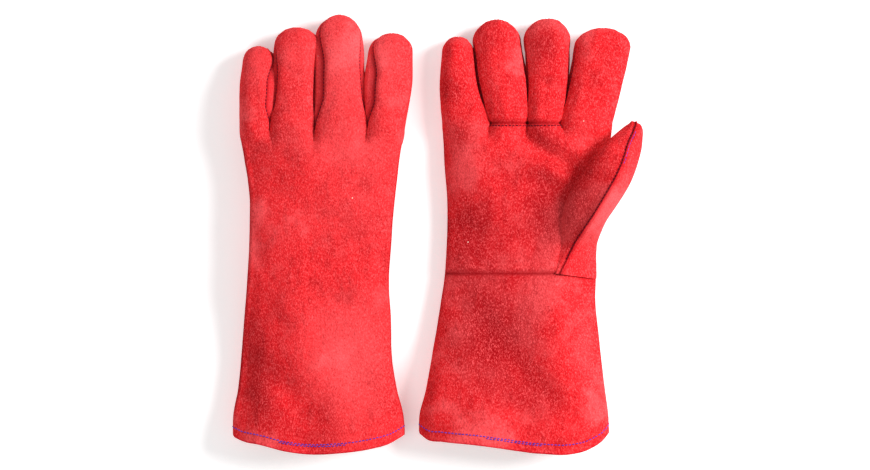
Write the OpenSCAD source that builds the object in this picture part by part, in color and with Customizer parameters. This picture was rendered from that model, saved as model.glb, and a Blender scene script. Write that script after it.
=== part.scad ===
// Pair of lined suede welding gauntlets, lying flat on a table.
// Millimetres, +Z up, +Y toward the fingertips, both thumb sides toward +X.
// The origin is the centre of the pair's footprint, on the table.
// Each glove is drawn about its own line, with y = 0 at the wrist seam and heights counted
// from the mid plane between its back and its palm.

/* [Leather and lining] */
// Thickness of the suede
leather_t = 1.4; // [1.0:0.1:1.8]
// Thickness of the fleece and canvas linings
lining_t = 1.2; // [0.8:0.1:1.6]
// Clear space across a seam
ply_gap = 0.2; // [0.1:0.05:0.3]
// Clear space between the leather and its lining
lining_gap = 0.6; // [0.4:0.1:1]
// Thickness of the welts in the seams
welt_t = 1.8; // [1.4:0.1:2.6]
// How far a welt stands out of its seam
welt_proud = 0.8; // [0.4:0.1:1.5]
// Depth of the turned-in cuff edge
hem_w = 9; // [6:0.5:14]
// Width of the side strips between the fingers
strip_w = 13; // [9:0.5:15]

/* [Hand and cuff] */
// Length from the wrist seam to the crotches of the fingers
palm_l = 122; // [98:1:150]
// Thickness of the lying hand
hand_t = 24; // [22:1:30]
// Height of the open cuff mouth
mouth_t = 40; // [32:1:50]
// Thickness of the lying fingers
finger_t = 22; // [19:0.5:24]
// Length of the hole for the thumb in the palm
thumb_hole_l = 38; // [25:1:44]
// Width of the hole for the thumb in the palm
thumb_hole_w = 18; // [12:1:20]

/* [Right glove, palm up] */
// Length of the cuff below the wrist seam
right_cuff_l = 146; // [120:1:180]
// Little-finger edge at the cuff edge, the wrist seam, mid palm and the knuckles
right_little_edge = [-84, -61, -61, -65];
// Index-finger edge at the same four places
right_index_edge = [70, 61, 64, 73];
// How far the thumb stops short of the finger crotches
right_thumb_stop = 3.4; // [3:0.2:30]
// Lean of the thumb away from the fingers
right_thumb_lean = 24.5; // [15:0.5:30]
// Widest part of the thumb
right_thumb_w = 35; // [28:1:38]
// Thickness of the thumb
right_thumb_t = 20; // [16:1:24]

/* [Left glove, palm down] */
// Length of the cuff below the wrist seam
left_cuff_l = 141.5; // [120:1:180]
// Little-finger edge at the cuff edge, the wrist seam, mid palm and the knuckles
left_little_edge = [-70.5, -58, -57, -64];
// Index-finger edge at the same four places
left_index_edge = [68.5, 57, 63, 67.5];
// How far the folded thumb stops short of the finger crotches
left_thumb_stop = 7; // [4:0.5:30]
// Lean of the folded thumb toward the little finger
left_thumb_lean = -14; // [-20:1:0]
// Widest part of the flattened thumb
left_thumb_w = 42; // [34:1:46]
// Thickness of the flattened thumb
left_thumb_t = 11.4; // [9:0.2:12]

/* [Pair] */
// Distance between the two glove lines
pair_pitch = 163.7; // [155:1:220]
// How far the left glove lies nearer the viewer
pair_stagger = 5; // [0:1:20]

/* [Hidden] */
GLOVES = ["right", "left"];
FINGERS = ["index", "middle", "ring", "little"];
HAND_PIECES = ["back_panel", "palm_panel", "gauntlet_front", "cuff_hem", "side_welts",
    "hand_lining", "gauntlet_lining"];
FINGER_PIECES = ["back", "front", "lining"];
SIDE_PIECES = ["index_side", "middle_index_side", "middle_ring_side", "ring_middle_side",
    "ring_little_side", "little_side"];
THUMB_PIECES = ["thumb_inner", "thumb_outer", "thumb_welt", "thumb_lining"];

suede = "#E2343B";
suede_dark = "#B9222B";
fleece = "#EFE6D2";
canvas = "#D9CDB0";

// Finger outlines: [left and right edge at the crotch, left and right edge below the tip, tip y].
// The order is that of FINGERS.
right_fingers = [
    [27.6, 72.5, 42.5, 85.5, 199],
    [-3.0, 26.2, 2.4, 38.4, 208],
    [-28.0, -4.6, -37.8, -0.4, 206.5],
    [-65.0, -29.6, -66.8, -40.0, 193.5],
];
left_fingers = [
    [38.6, 67.5, 38.0, 73.3, 199.8],
    [-3.8, 37.0, -1.8, 34.0, 214.8],
    [-40.0, -5.2, -35.0, -3.6, 203.5],
    [-64.0, -41.6, -62.8, -37.0, 189],
];
// How far the cuff edge rises above its lowest point, along its width
right_hem_rise = [[-84, 18], [-79, 12.5], [-58, 8], [-18, 5], [38, 0], [55, 4], [67, 13], [70, 18]];
left_hem_rise = [[-70, 13], [-49, 8], [-28, 2.5], [-8, 0], [18, 1], [42, 4], [60, 9.5], [69, 14.5]];

// Rounding of a section: 2 is an ellipse, more is boxier
squareness = 3;
// Lifts the middle of a section to a flat, so that it lies on the table
crown = 1.1;
// Cells along one half of a hand or finger section
half_cells = 8;
// Half thickness that the hand keeps over the fingers at the knuckle line
knuckle_fullness = 0.5;
// Share of the left cuff over which it rises to the lifted hand
lift_share = 1 / 3;
// Smallest half width and half thickness of an inner section
least_half = 0.6;
// Rows of a section grid lie at least this far apart
row_clear = 1;
// Corner of the thumb hole nearest the wrist seam and the glove line
thumb_hole_place = [34, 24];
// Half thickness of the blunt end of a finger
tip_half_t = 1.6;
// Clear distance along the finger at the knuckle line
knuckle_gap = 0.3;
// Clear space between the thumb and the palm it lies on
thumb_gap = 0.8;
// Depth that the left hand lies above the table, over its folded thumb
left_hand_lift = left_thumb_t + 2 * thumb_gap;

// Lays that both gloves' pieces take their places from
function is_right(g) = g == "right";
function palm_sign(g) = is_right(g) ? 1 : -1;
function cuff_l(g) = is_right(g) ? right_cuff_l : left_cuff_l;
function little_edge(g) = is_right(g) ? right_little_edge : left_little_edge;
function index_edge(g) = is_right(g) ? right_index_edge : left_index_edge;
function hem_rise(g) = is_right(g) ? right_hem_rise : left_hem_rise;
function fingers(g) = is_right(g) ? right_fingers : left_fingers;
function mid_palm_y() = palm_l / 2;

// Root of each thumb, in the middle of its width: lying out beside the palm, and folded over the palm
thumb_root = [43, 20];
folded_thumb_root = [9, 20];
// Share of the full width along the thumb: narrow root, widest before its middle, slim tip
thumb_tip_share = 0.22;
thumb_shape = [[0, 0.78], [0.2, 0.88], [0.42, 1], [0.7, 0.86], [0.88, 0.56], [1, thumb_tip_share]];

// Length of each thumb from its root
right_thumb_l = (palm_l - thumb_root[1] - right_thumb_stop) / cos(right_thumb_lean);
left_thumb_l = (palm_l - folded_thumb_root[1] - left_thumb_stop) / cos(left_thumb_lean);

// Place of a glove line, which centres the pair's footprint on the origin
thumb_reach = thumb_root[0] + right_thumb_l * sin(right_thumb_lean)
    + thumb_tip_share * right_thumb_w / 2 * cos(right_thumb_lean);
left_reach = welt_proud - left_little_edge[0];
right_x = (left_reach + pair_pitch + thumb_reach) / 2 - thumb_reach;
front_y = max(right_cuff_l, left_cuff_l + pair_stagger);
far_y = max(concat([for (f = right_fingers) f[4]], [for (f = left_fingers) f[4] - pair_stagger]));
right_y = (front_y - far_y) / 2;
function glove_at(g) = is_right(g) ? [right_x, right_y, 0]
    : [right_x - pair_pitch, right_y - pair_stagger, 0];

// Half thickness and mid-plane height of a hand or cuff at y
function hand_half_t(g, y) =
    lookup(y, [[-cuff_l(g), mouth_t / 2], [0, hand_t / 2], [palm_l, finger_t / 2 + knuckle_fullness]]);
function hand_mid_z(g, y) = hand_half_t(g, y)
    + (is_right(g) ? 0 : lookup(y, [[-cuff_l(g) * lift_share, 0], [0, left_hand_lift]]));
// Edge of a hand or cuff at y, from its four places
function edge_at(g, edge, y) =
    lookup(y, [[-cuff_l(g), edge[0]], [0, edge[1]], [mid_palm_y(), edge[2]], [palm_l, edge[3]]]);

// A row is one section: [y, middle x, half width, half thickness, mid-plane z]
function hand_row(g, y) = let (l = edge_at(g, little_edge(g), y), r = edge_at(g, index_edge(g), y))
    [y, (l + r) / 2, (r - l) / 2, hand_half_t(g, y), hand_mid_z(g, y)];
// Rows of a hand or cuff between two places, with one wherever its outline or height turns
function turns(g) = [-cuff_l(g) * 2 * lift_share, -cuff_l(g) * lift_share, 0, mid_palm_y()];
function hand_rows(g, from, to) =
    [for (y = concat(from, [for (t = turns(g)) if (t > from + row_clear && t < to - row_clear) t], to))
        hand_row(g, y)];

// Point of a section at angle a, counted from the index edge over the palm, inset from the outside
function across(a) = sign(cos(a)) * pow(abs(cos(a)), 2 / squareness);
function upward(a) = sign(sin(a)) * min(1, crown * pow(abs(sin(a)), 2 / squareness));
// A deep ply never closes quite flat
function least(inset) = least_half / (1 + max(inset, 0));
function section_point(row, a, inset, side) = [
    row[1] + max(row[2] - inset, least(inset)) * across(a),
    row[0],
    row[4] + side * max(row[3] - inset, least(inset)) * upward(a)
];
// Angle at which a section of half thickness half_t is w above its mid plane
function angle_at(half_t, w) = asin(pow(min(1, w / (half_t * crown)), squareness / 2));
// Angles [from, to] of a palm, of a back, and of the welt between them, on each row
function palm_span(rows, w) = [for (r = rows) let (a = angle_at(r[3], w)) [a, 180 - a]];
function back_span(rows, w) = [for (s = palm_span(rows, w)) [s[1] + 2 * (180 - s[1]), 360 - s[0]]];
function index_seam_span(rows, w) = [for (r = rows) let (a = angle_at(r[3], w)) [-a, a]];
function little_seam_span(rows, w) = [for (s = index_seam_span(rows, w)) [180 + s[0], 180 + s[1]]];
function full_span(rows) = [for (r = rows) [0, 360]];

// Shifts the points of a cuff row, so that the cuff edge rises toward its ends
function hem_shift(g, p) = [p[0], p[1] + lookup(p[0], hem_rise(g)) * max(0, -p[1] / cuff_l(g)), p[2]];
function grid(rows, spans, inset, side, cells, last) = [for (r = [0 : len(rows) - 1])
    [for (c = [0 : last]) let (s = spans[r]) section_point(rows[r], s[0] + (s[1] - s[0]) * c / cells, inset, side)]];

// Closed solid between an outer and an inner grid of points. A ring joins up round its section.
module skin(outer, inner, ring, flip) {
    rows = len(outer);
    cols = len(outer[0]);
    cells = ring ? cols : cols - 1;
    function at(layer, r, c) = layer * rows * cols + r * cols + c % cols;
    function quad(a, b, c, d) = flip ? [[a, c, b], [a, d, c]] : [[a, b, c], [a, c, d]];
    faces = concat(
        [for (r = [0 : rows - 2], c = [0 : cells - 1])
            each quad(at(0, r, c), at(0, r, c + 1), at(0, r + 1, c + 1), at(0, r + 1, c))],
        [for (r = [0 : rows - 2], c = [0 : cells - 1])
            each quad(at(1, r + 1, c), at(1, r + 1, c + 1), at(1, r, c + 1), at(1, r, c))],
        [for (c = [0 : cells - 1]) each quad(at(1, 0, c), at(1, 0, c + 1), at(0, 0, c + 1), at(0, 0, c))],
        [for (c = [0 : cells - 1])
            each quad(at(0, rows - 1, c), at(0, rows - 1, c + 1), at(1, rows - 1, c + 1), at(1, rows - 1, c))],
        ring ? [] : [for (r = [0 : rows - 2]) each quad(at(1, r, 0), at(0, r, 0), at(0, r + 1, 0), at(1, r + 1, 0))],
        ring ? [] : [for (r = [0 : rows - 2])
            each quad(at(0, r, cells), at(1, r, cells), at(1, r + 1, cells), at(0, r + 1, cells))]);
    polyhedron([for (g = [outer, inner], row = g) each row], faces);
}

// One ply of a hand or cuff between two insets, over the given rows and angles
module hand_ply(g, rows, spans, outer_inset, inner_inset, cells, ring = false) {
    last = ring ? cells - 1 : cells;
    function points(inset) = [for (row = grid(rows, spans, inset, palm_sign(g), cells, last))
        [for (p = row) hem_shift(g, p)]];
    translate(glove_at(g)) skin(points(outer_inset), points(inner_inset), ring, !is_right(g));
}

seam_w = welt_t / 2 + ply_gap;
lining_inset = leather_t + lining_gap;
wrist_gap = ply_gap;
knuckle_y = palm_l - knuckle_gap / 2;

module back_panel(g) {
    rows = hand_rows(g, -cuff_l(g), knuckle_y);
    color(suede) hand_ply(g, rows, back_span(rows, seam_w), 0, leather_t, half_cells);
}

module thumb_hole(g) {
    hole_at = hand_mid_z(g, mid_palm_y());
    translate(glove_at(g) + [thumb_hole_place[0], thumb_hole_place[1], is_right(g) ? hole_at : 0])
        cube([thumb_hole_w, thumb_hole_l, is_right(g) ? hand_t : hole_at]);
}

module palm_panel(g) {
    rows = hand_rows(g, wrist_gap, knuckle_y);
    color(suede) difference() {
        hand_ply(g, rows, palm_span(rows, seam_w), 0, leather_t, half_cells);
        thumb_hole(g);
    }
}

module gauntlet_front(g) {
    rows = hand_rows(g, -cuff_l(g), -wrist_gap);
    color(suede) hand_ply(g, rows, palm_span(rows, seam_w), 0, leather_t, half_cells);
}

module cuff_hem(g) {
    rows = hand_rows(g, -cuff_l(g), hem_w - cuff_l(g));
    color(suede_dark)
        hand_ply(g, rows, full_span(rows), lining_inset, lining_inset + leather_t, 2 * half_cells, true);
}

module side_welts(g) {
    rows = hand_rows(g, -cuff_l(g), knuckle_y);
    color(suede_dark) for (spans = [index_seam_span(rows, welt_t / 2), little_seam_span(rows, welt_t / 2)])
        hand_ply(g, rows, spans, -welt_proud, leather_t, 1);
}

module hand_lining(g) {
    rows = hand_rows(g, wrist_gap, knuckle_y);
    color(fleece) difference() {
        hand_ply(g, rows, full_span(rows), lining_inset, lining_inset + lining_t, 2 * half_cells, true);
        thumb_hole(g);
    }
}

module gauntlet_lining(g) {
    rows = hand_rows(g, hem_w + ply_gap - cuff_l(g), -wrist_gap);
    color(canvas)
        hand_ply(g, rows, full_span(rows), lining_inset, lining_inset + lining_t, 2 * half_cells, true);
}

// Fingers. A finger is straight from its crotch to its tip arc, whose length is a share of its width.
tip_share = 0.55;
straight_rows = 3;
tip_rows = 5;
tip_turn = 80;
finger_root_y = palm_l + knuckle_gap / 2;

// Mid plane of a finger: the right hand's lie on the table, the left hand's droop down to it
function finger_mid_z(g, y, tip_y) = is_right(g) ? finger_t / 2
    : lookup(y, [[palm_l, hand_mid_z(g, palm_l)], [tip_y, finger_t / 2]]);
function finger_straight(f, k) = let (end_y = f[4] - tip_share * (f[3] - f[2]))
    [finger_root_y + (end_y - finger_root_y) * k, f[0] + (f[2] - f[0]) * k, f[1] + (f[3] - f[1]) * k];
function finger_row(g, f, y, l, r, half_t) = [y, (l + r) / 2, (r - l) / 2, half_t, finger_mid_z(g, y, f[4])];
function finger_rows(g, f, inset) = let (
    shorten = (f[4] - inset - finger_root_y) / (f[4] - finger_root_y),
    top = finger_straight(f, 1),
    half_w = (f[3] - f[2]) / 2)
    [for (row = concat(
        [for (i = [0 : straight_rows]) let (s = finger_straight(f, i / straight_rows))
            finger_row(g, f, s[0], s[1], s[2], finger_t / 2)],
        [for (i = [1 : tip_rows]) let (a = tip_turn * i / tip_rows, w = half_w * cos(a), m = (f[2] + f[3]) / 2)
            finger_row(g, f, top[0] + (f[4] - top[0]) * sin(a) / sin(tip_turn), m - w, m + w,
                tip_half_t + (finger_t / 2 - tip_half_t) * cos(a * 90 / tip_turn))]))
        [finger_root_y + (row[0] - finger_root_y) * shorten, row[1], row[2], row[3], row[4]]];

// Angle at which a piece starts on each side of a finger: above the side strip, or at the welt-less seam
strip_cells = 2;
finger_cells = 6;
open_seam_w = ply_gap / 2;
// Largest share of a finger's half thickness that its side strip covers, which narrows it at the tip
strip_share = 0.62;
// Degrees of clearance between a side strip and the front or back sewn to it
strip_clear = 1.2;
function strip_angle(row) = angle_at(row[3], min(strip_w / 2, row[3] * strip_share));
function edge_angle(row, has_strip) =
    has_strip ? strip_angle(row) + strip_clear : angle_at(row[3], open_seam_w);

// One ply of a finger, on the angles that span gives for each row
module finger_ply(g, f, spans, outer_inset, inner_inset, cells, ring = false) {
    last = ring ? cells - 1 : cells;
    function points(inset) = grid(finger_rows(g, f, max(inset, 0)), spans, inset, palm_sign(g), cells, last);
    translate(glove_at(g)) skin(points(outer_inset), points(inner_inset), ring, !is_right(g));
}

function has_index_strip(i) = i > 0;
function has_little_strip(i) = i < len(FINGERS) - 1;
function front_span(g, i) = [for (r = finger_rows(g, fingers(g)[i], 0))
    [edge_angle(r, has_index_strip(i)), 180 - edge_angle(r, has_little_strip(i))]];

module finger_front(g, i) {
    color(suede) finger_ply(g, fingers(g)[i], front_span(g, i), 0, leather_t, finger_cells);
}

module finger_back(g, i) {
    spans = [for (s = front_span(g, i)) [360 - s[1], 360 - s[0]]];
    color(suede) finger_ply(g, fingers(g)[i], spans, 0, leather_t, finger_cells);
}

module finger_lining(g, i) {
    rows = finger_rows(g, fingers(g)[i], 0);
    color(fleece) finger_ply(g, fingers(g)[i], full_span(rows), lining_inset, lining_inset + lining_t,
        2 * finger_cells, true);
}

// The strip on one side of finger i: toward the index finger, or toward the little finger
module finger_side(g, i, toward_index) {
    spans = [for (r = finger_rows(g, fingers(g)[i], 0)) let (a = strip_angle(r))
        toward_index ? [-a, a] : [180 - a, 180 + a]];
    color(suede_dark) finger_ply(g, fingers(g)[i], spans, 0, leather_t, strip_cells);
}

// Thumbs. A thumb is drawn along its own line from its root, then leant and laid on the palm.
thumb_droop = 2.5;
thumb_cells = 7;
function thumb_l(g) = is_right(g) ? right_thumb_l : left_thumb_l;
function thumb_w(g) = is_right(g) ? right_thumb_w : left_thumb_w;
function thumb_t(g) = is_right(g) ? right_thumb_t : left_thumb_t;
thumb_stations = [0, 0.12, 0.26, 0.42, 0.56, 0.7, 0.82, 0.91, 0.97, 1];
function thumb_rows(g, inset) = [for (k = thumb_stations) [
    k * (thumb_l(g) - inset), 0,
    thumb_w(g) / 2 * lookup(k, thumb_shape),
    max(tip_half_t, thumb_t(g) / 2 * sqrt(1 - pow(k, 5))),
    0]];
// Angle of the ridge seam: toward the fingers at the root, toward the outside at the tip
ridge_root_angle = 130;
ridge_turn = 85;
function ridge_angle(k) = ridge_root_angle - ridge_turn * k;
// Degrees from the ridge to the edge of its welt, and from there to the leather beside it
ridge_half_w = 2.4;
ridge_clear = 1;
under_angle = 270;

module thumb_ply(g, spans, outer_inset, inner_inset, cells, ring = false) {
    last = ring ? cells - 1 : cells;
    lean = is_right(g) ? right_thumb_lean : left_thumb_lean;
    root = is_right(g) ? thumb_root : folded_thumb_root;
    side = palm_sign(g);
    palm_z = hand_mid_z(g, root[1]) + side * hand_half_t(g, root[1]);
    mid_z = palm_z + side * (thumb_gap + thumb_t(g) / 2);
    droop = is_right(g) ? -thumb_droop : 0;
    function points(inset) = grid(thumb_rows(g, max(inset, 0)), spans, inset, side, cells, last);
    translate(glove_at(g) + [root[0], root[1], mid_z]) rotate([droop, 0, -lean])
        skin(points(outer_inset), points(inner_inset), ring, !is_right(g));
}

function ridge_spans(half) = [for (k = thumb_stations) [ridge_angle(k) - half, ridge_angle(k) + half]];

module thumb_outer(g) {
    spans = [for (k = thumb_stations) [under_angle - 360 + ridge_half_w, ridge_angle(k) - ridge_half_w - ridge_clear]];
    color(suede) thumb_ply(g, spans, 0, leather_t, thumb_cells);
}

module thumb_inner(g) {
    spans = [for (k = thumb_stations) [ridge_angle(k) + ridge_half_w + ridge_clear, under_angle]];
    color(suede) thumb_ply(g, spans, 0, leather_t, thumb_cells);
}

module thumb_welt(g) {
    color(suede_dark) thumb_ply(g, ridge_spans(ridge_half_w), -welt_proud, leather_t, 1);
}

module thumb_lining(g) {
    color(fleece) thumb_ply(g, full_span(thumb_stations), lining_inset, lining_inset + lining_t,
        2 * half_cells, true);
}

for (g = GLOVES) {
    back_panel(g);
    palm_panel(g);
    gauntlet_front(g);
    cuff_hem(g);
    side_welts(g);
    hand_lining(g);
    gauntlet_lining(g);
    for (i = [0 : len(FINGERS) - 1]) {
        finger_back(g, i);
        finger_front(g, i);
        finger_lining(g, i);
    }
    finger_side(g, 0, false);
    finger_side(g, 1, true);
    finger_side(g, 1, false);
    finger_side(g, 2, true);
    finger_side(g, 2, false);
    finger_side(g, 3, true);
    thumb_inner(g);
    thumb_outer(g);
    thumb_welt(g);
    thumb_lining(g);
}
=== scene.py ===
# A pair of lined suede welding gauntlets: the left glove lies palm down, the right glove palm up.
# Each glove is sewn from leather panels over a fleece hand lining and a canvas cuff lining.
import math
import random

import bpy
import numpy as np
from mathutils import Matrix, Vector, noise


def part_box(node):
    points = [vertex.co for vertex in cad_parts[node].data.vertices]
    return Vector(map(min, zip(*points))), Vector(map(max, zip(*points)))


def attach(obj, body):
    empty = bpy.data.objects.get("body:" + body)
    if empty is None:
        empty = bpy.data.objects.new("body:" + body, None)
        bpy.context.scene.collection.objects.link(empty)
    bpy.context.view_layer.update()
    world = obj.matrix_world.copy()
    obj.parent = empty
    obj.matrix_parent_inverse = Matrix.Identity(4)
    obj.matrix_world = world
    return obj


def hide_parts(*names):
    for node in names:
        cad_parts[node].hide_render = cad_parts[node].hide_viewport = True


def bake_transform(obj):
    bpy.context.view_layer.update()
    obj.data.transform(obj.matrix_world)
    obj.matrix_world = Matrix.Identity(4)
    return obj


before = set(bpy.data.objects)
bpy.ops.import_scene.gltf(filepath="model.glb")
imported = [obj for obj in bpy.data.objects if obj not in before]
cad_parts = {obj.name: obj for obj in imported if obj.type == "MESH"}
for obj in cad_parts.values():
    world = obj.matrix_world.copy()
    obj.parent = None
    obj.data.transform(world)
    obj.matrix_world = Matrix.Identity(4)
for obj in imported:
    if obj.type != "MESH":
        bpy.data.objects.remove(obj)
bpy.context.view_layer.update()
MM = 0.001


# ---- Glove shapes -------------------------------------------------------------------------
# Each glove is cut to one pattern, but its leather lies in its own way. Lengths are in millimetres
# from the glove's line and its wrist seam, heights are above the table.
FINGERS = ["index", "middle", "ring", "little"]
GLOVES = {
    "right": {
        "line_x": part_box("right_palm_panel")[0][0] / MM + 65,
        "wrist_y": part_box("right_palm_panel")[0][1] / MM - 0.2,
        # place along the glove, little-finger edge, index-finger edge
        "outline": [(-146, -85.6, 68.4), (-128, -84.8, 67.8), (-102, -79.5, 65.6), (-54, -72, 61.5),
                    (-21, -67.3, 58.4), (0, -64.2, 58.6), (27, -62.4, 58), (60, -62.4, 62.5),
                    (92, -64.9, 68.5), (122, -66.4, 72)],
        # place along the glove, palm face, side seam, back face
        "heights": [(-146, 38, 18, 0), (-94, 33, 15, 0), (-46, 28, 12.5, 0), (0, 24, 11, 0),
                    (60, 24.6, 11, 0), (122, 22.4, 10.4, 0)],
        # place across the cuff, how far the turned edge stands back there
        "hem_rise": [(-86, 17), (-80, 12), (-66, 9.8), (-40, 7.4), (-20, 5), (13, 0.8), (37, 0),
                     (53, 4), (65, 12.8), (69, 19)],
        # how the wrist seam dips under the thumb: from, to, depth
        "wrist_dip": (27, 59, 4.2),
        # each edge at the crotch, halfway and below the tip, then the tip and its bluntness
        "fingers": {"index": ((29.9, 36.2, 42.9), (72, 79.6, 85.6), 198.2, 0.33),
                    "middle": ((2.8, 3.4, 1.6), (29.9, 35.4, 36), 206.6, 0.48),
                    "ring": ((-27.6, -36.6, -40.2), (2.8, 2.2, -4), 205.4, 0.48),
                    "little": ((-66.4, -68.1, -66.4), (-27.6, -37.4, -42), 192, 0.5)},
        # degrees that each side strip shows on the back, toward the index finger and the little finger
        "strips": {"index": (0, 40), "middle": (40, 40), "ring": (40, 40), "little": (40, 0)},
        # degrees that the strips show on the palm side
        "strip_front": 12,
        "cuff": 144.2,
    },
    "left": {
        "line_x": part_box("left_palm_panel")[0][0] / MM + 64,
        "wrist_y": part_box("left_palm_panel")[0][1] / MM - 0.2,
        "outline": [(-141.5, -72, 66.8), (-120, -72, 65.6), (-97, -68.9, 60.8), (-65, -66.2, 56.2),
                    (-32, -63.6, 55.8), (0, -60.6, 54.6), (32, -59, 56.8), (64, -58.4, 59.2),
                    (97, -63, 62.6), (122, -66.4, 65.8)],
        "heights": [(-141.5, 0, 19, 38), (-94, 0, 17, 35), (-47, 1.5, 17, 32.5), (0, 13, 25, 36.6),
                    (60, 13, 25.5, 37.4), (122, 13.4, 24.4, 35.6)],
        "hem_rise": [(-73, 14), (-66, 10.6), (-50, 7.4), (-30, 2.4), (-10, 0), (15, 0.8), (39, 4),
                     (59, 9.7), (68, 15)],
        "wrist_dip": (27, 59, 0),
        "fingers": {"index": ((36.9, 36.2, 40.4), (65.8, 71.4, 72.2), 199.2, 0.42),
                    "middle": ((-6.1, -4.9, -3), (36.9, 32, 30.6), 214.4, 0.52),
                    "ring": ((-42.1, -37.4, -37.2), (-6.1, -6.2, -4), 203.2, 0.33),
                    "little": ((-66.4, -66, -64), (-42.1, -39.6, -39.2), 188.6, 0.52)},
        "strips": {"index": (0, 54), "middle": (20, 50), "ring": (14, 26), "little": (52, 0)},
        "strip_front": 14,
        "cuff": 139,
    },
}
# Where the fingers leave the hand.
CROTCH = 122


def through(at, places, values):
    """Value at a place of the smooth curve through the given values."""
    places, values = np.array(places, float), np.array(values, float)
    slopes = np.gradient(values, places)
    at = np.clip(np.asarray(at, float), places[0], places[-1])
    k = np.clip(np.searchsorted(places, at) - 1, 0, len(places) - 2)
    h = places[k + 1] - places[k]
    t = (at - places[k]) / h
    start = (1 + 2 * t) * (1 - t) ** 2 * values[k] + t * (1 - t) ** 2 * h * slopes[k]
    return start + t * t * (3 - 2 * t) * values[k + 1] + t * t * (t - 1) * h * slopes[k + 1]


def along(glove, table, column, y):
    """A column of a glove's table, read at a place along the glove."""
    rows = GLOVES[glove][table]
    return through(y, [row[0] for row in rows], [row[column] for row in rows])


def ease(t):
    """Soft step from 0 to 1."""
    t = np.clip(t, 0, 1)
    return t * t * (3 - 2 * t)


def lengths_along(points):
    """Length of a line up to each of its points."""
    steps = np.linalg.norm(np.diff(points, axis=0), axis=1)
    return np.concatenate([[0], np.cumsum(steps)])


def resample(points, shares):
    """Points of a line at the given shares of its length."""
    run = lengths_along(points)
    at = np.array(shares) * run[-1]
    return np.array([np.interp(at, run, points[:, k]) for k in range(points.shape[1])]).T


FACE_COLUMNS = 14
STRIP_COLUMNS = 4
SAMPLES_PER_COLUMN = 6
# How far a side strip's leather stands out past the finger's cut edge.
SEAM_FULLNESS = 0.7
# Share of a finger's length over which its section grows out of the hand's.
ROOT_SHARE = 0.12
# How square a section is: the face on the table is flatter than the face on top.
LOWER_POWER = 2 / 3.2
UPPER_POWER = 2 / 2.25
# Heights of the seam and the back of a left fingertip, which droops to the table, and its clearance.
DROOPED_SEAM = 11
DROOPED_BACK = 21.4
TABLE_GAP = 0.4
# Fingers with a side strip toward the index finger and toward the little finger.
STRIP_SIDES = {"index": (False, True), "middle": (True, True), "ring": (True, True), "little": (True, False)}


def signed_power(value, power):
    return np.sign(value) * np.abs(value) ** power


def strip_angles(glove, finger, share):
    """Angles of a side strip's seams on the front, and on the back toward the index and little fingers.
    A strip is leaf-shaped: it narrows toward the crotch and runs out toward the fingertip."""
    leaf = (0.35 + 0.65 * ease(share / 0.3)) * (1 - 0.8 * ease((share - 0.55) / 0.45))
    lay = GLOVES[glove]
    return lay["strip_front"] * leaf, *[angle * leaf for angle in lay["strips"][finger]]


def finger_section(glove, finger, share, angles):
    """Points of a finger's skin at a share of its length. Angles count from the index side over the palm."""
    lay = GLOVES[glove]
    low_edge, high_edge, tip, blunt = lay["fingers"][finger]
    arc_start = tip - blunt * (high_edge[2] - low_edge[2])
    straight = (arc_start - CROTCH) / (tip - CROTCH)
    k = min(share / straight, 1)
    fullness = SEAM_FULLNESS * ease(share / ROOT_SHARE)
    left = through(k, (0, 0.5, 1), low_edge) - fullness * STRIP_SIDES[finger][1]
    right = through(k, (0, 0.5, 1), high_edge) + fullness * STRIP_SIDES[finger][0]
    middle, half = (left + right) / 2, (right - left) / 2
    turn = min(max((share - straight) / (1 - straight), 0), 1)
    y = CROTCH + (arc_start - CROTCH) * k + (tip - arc_start) * math.sin(turn * math.pi / 2)
    narrow = max(math.cos(turn * math.pi / 2) ** 0.92, 0.05)
    flat = math.cos(turn * math.pi / 2) ** 0.8 if turn < 1 else 0
    front, seam, back = [along(glove, "heights", column, CROTCH) for column in (1, 2, 3)]
    if glove == "left":
        droop = ease(share * 0.5) * 2
        front = front * (1 - droop) + TABLE_GAP
        seam += (DROOPED_SEAM - seam) * droop
        back += (DROOPED_BACK - back) * droop
    angles = np.asarray(angles, float)
    cos, sin = np.cos(np.radians(angles)), np.sin(np.radians(angles))
    lower = (sin >= 0) == (glove == "left")
    power = np.where(lower, LOWER_POWER, UPPER_POWER)
    aside, aloft = signed_power(cos, power), np.abs(sin) ** power
    grown = ease(share / ROOT_SHARE)
    strip_front, *strip_backs = strip_angles(glove, finger, share)
    for side, has_strip, strip_back in zip((1, -1), STRIP_SIDES[finger], strip_backs):
        if has_strip:
            edge = np.where(sin >= 0, strip_front, strip_back)
            reach = np.cos(np.radians(edge)) ** power
            squared = np.clip(aside / reach, -1, 1)
            aside = np.where(aside * side > 0, squared + (aside - squared) * grown, aside)
    z = seam + aloft * flat * np.where(sin >= 0, front - seam, back - seam)
    return np.array([middle + half * narrow * aside, np.full(len(angles), y), z]).T


def finger_part(glove, finger, share, part):
    """One row of a finger's front, back or side strip."""
    front, index_back, little_back = strip_angles(glove, finger, share)
    to_index, to_little = STRIP_SIDES[finger]
    spans = {"front": (front * to_index, 180 - front * to_little),
             "little_strip": (180 - front, 180 + little_back),
             "back": (180 + little_back, 360 - index_back),
             "index_strip": (360 - index_back, 360 + front)}
    start, end = spans[part]
    columns = STRIP_COLUMNS if "strip" in part else FACE_COLUMNS
    angles = np.linspace(start, end, columns * SAMPLES_PER_COLUMN + 1)
    dense = finger_section(glove, finger, share, angles)
    return resample(dense, np.linspace(0, 1, columns + 1))


def knuckle_row(glove, face):
    """The row in which a hand's front or back meets its four fingers."""
    order = FINGERS if face == "front" else FINGERS[::-1]
    rows = [finger_part(glove, finger, 0, face) for finger in order]
    return np.concatenate([rows[0]] + [row[1:] for row in rows[1:]])


# How far along the glove the wrist seam's dip spreads, and over what length the hand turns into fingers.
DIP_REACH = 20
KNUCKLE_REACH = 24
HAND_SAMPLES = 241
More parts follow.
